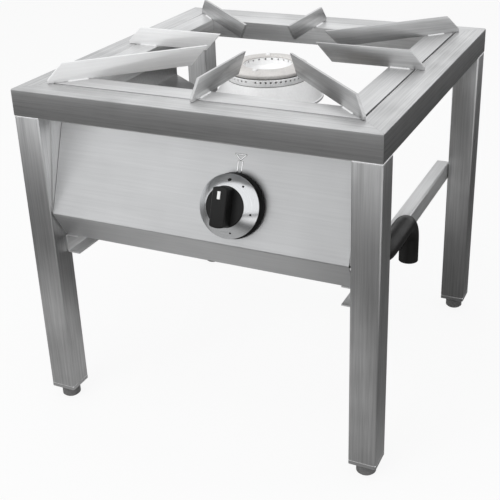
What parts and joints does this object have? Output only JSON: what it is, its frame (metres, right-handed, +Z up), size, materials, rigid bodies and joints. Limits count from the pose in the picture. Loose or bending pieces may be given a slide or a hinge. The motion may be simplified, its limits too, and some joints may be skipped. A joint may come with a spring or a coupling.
{
  "type": "stock pot range",
  "caption": "Low square-tube gas stand with a cast ring burner, a lift-off pan support of flat bars, a leaning control panel and a gas tap knob.",
  "frame": {"origin": "on the floor, under the middle of the part's outline, knob included", "axes": "+X to the right seen from the front, +Y to the back, +Z up"},
  "size_m": [0.4, 0.4284, 0.4002],
  "materials": {
    "stand_steel": "brushed stainless steel, satin, grain along each tube",
    "panel_steel": "brushed stainless sheet, satin, with soft vertical bands",
    "support_steel": "stainless flat bar and angle, fine mill grain",
    "burner_aluminium": "fine sand-cast and turned aluminium, matt",
    "brass": "machined brass",
    "pipe_black": "black painted steel pipe, semi-matt",
    "knob_black": "black moulded heat-resistant plastic, satin",
    "bezel_chrome": "satin chromed ring",
    "index_white": "white index inlay",
    "foot_grey": "grey moulded plastic foot on a steel stem"
  },
  "bodies": {
    "stand": {"frame_front": "stand_steel", "frame_right": "stand_steel", "frame_back": "stand_steel", "frame_left": "stand_steel", "leg_front_left": "stand_steel", "leg_end_plate_front_left": "stand_steel", "leg_front_right": "stand_steel", "leg_end_plate_front_right": "stand_steel", "leg_rear_right": "stand_steel", "leg_end_plate_rear_right": "stand_steel", "leg_rear_left": "stand_steel", "leg_end_plate_rear_left": "stand_steel", "rail_left": "panel_steel", "rail_right": "panel_steel", "control_panel": "panel_steel", "cheek_left": "panel_steel", "cheek_right": "panel_steel", "burner_support": "panel_steel", "supply_pipe_saddle": "panel_steel", "air_shutter": "panel_steel", "burner_body": "burner_aluminium", "mixing_tube": "burner_aluminium", "tap_body": "brass", "tap_end_cap": "brass", "tap_nut": "brass", "injector": "brass", "feed_pipe": "brass", "supply_pipe": "pipe_black"},
    "pan_support": {"ring_front": "support_steel", "ring_right": "support_steel", "ring_back": "support_steel", "ring_left": "support_steel", "arm_front_left": "support_steel", "arm_front_right": "support_steel", "arm_rear_right": "support_steel", "arm_rear_left": "support_steel", "arm_front": "support_steel", "arm_right": "support_steel", "arm_rear": "support_steel", "arm_left": "support_steel"},
    "burner_crown": {"burner_crown": "burner_aluminium"},
    "burner_cap": {"burner_cap": "burner_aluminium"},
    "tap_plug": {"tap_plug": "brass"},
    "knob": {"knob_skirt": "knob_black", "knob_bezel": "bezel_chrome", "knob_grip": "knob_black", "knob_index": "index_white", "tap_spindle": "brass"},
    "foot_front_left": {"foot_front_left": "foot_grey"},
    "foot_front_right": {"foot_front_right": "foot_grey"},
    "foot_rear_right": {"foot_rear_right": "foot_grey"},
    "foot_rear_left": {"foot_rear_left": "foot_grey"}
  },
  "joints": [
    {"name": "pan_support_lift", "type": "slide", "parent": "stand", "child": "pan_support", "axis": [0, 0, 1], "range_m": [0, 0.08]},
    {"name": "burner_crown_lift", "type": "slide", "parent": "stand", "child": "burner_crown", "axis": [0, 0, 1], "range_m": [0, 0.05]},
    {"name": "burner_cap_lift", "type": "slide", "parent": "burner_crown", "child": "burner_cap", "axis": [0, 0, 1], "range_m": [0, 0.05]},
    {"name": "knob_turn", "type": "hinge", "parent": "stand", "child": "tap_plug", "pos_m": [0.045, -0.16978, 0.28053], "axis": [0, -0.9397, 0.342], "range_deg": [0, 165]},
    {"name": "knob_push", "type": "slide", "parent": "tap_plug", "child": "knob", "axis": [0, 0.9397, -0.342], "range_m": [0, 0.003], "stiffness_N_per_m": 1500, "springref_m": -0.003},
    {"name": "foot_front_left_screw", "type": "slide", "parent": "stand", "child": "foot_front_left", "axis": [0, 0, -1], "range_m": [0, 0.015]},
    {"name": "foot_front_right_screw", "type": "slide", "parent": "stand", "child": "foot_front_right", "axis": [0, 0, -1], "range_m": [0, 0.015]},
    {"name": "foot_rear_right_screw", "type": "slide", "parent": "stand", "child": "foot_rear_right", "axis": [0, 0, -1], "range_m": [0, 0.015]},
    {"name": "foot_rear_left_screw", "type": "slide", "parent": "stand", "child": "foot_rear_left", "axis": [0, 0, -1], "range_m": [0, 0.015]}
  ]
}
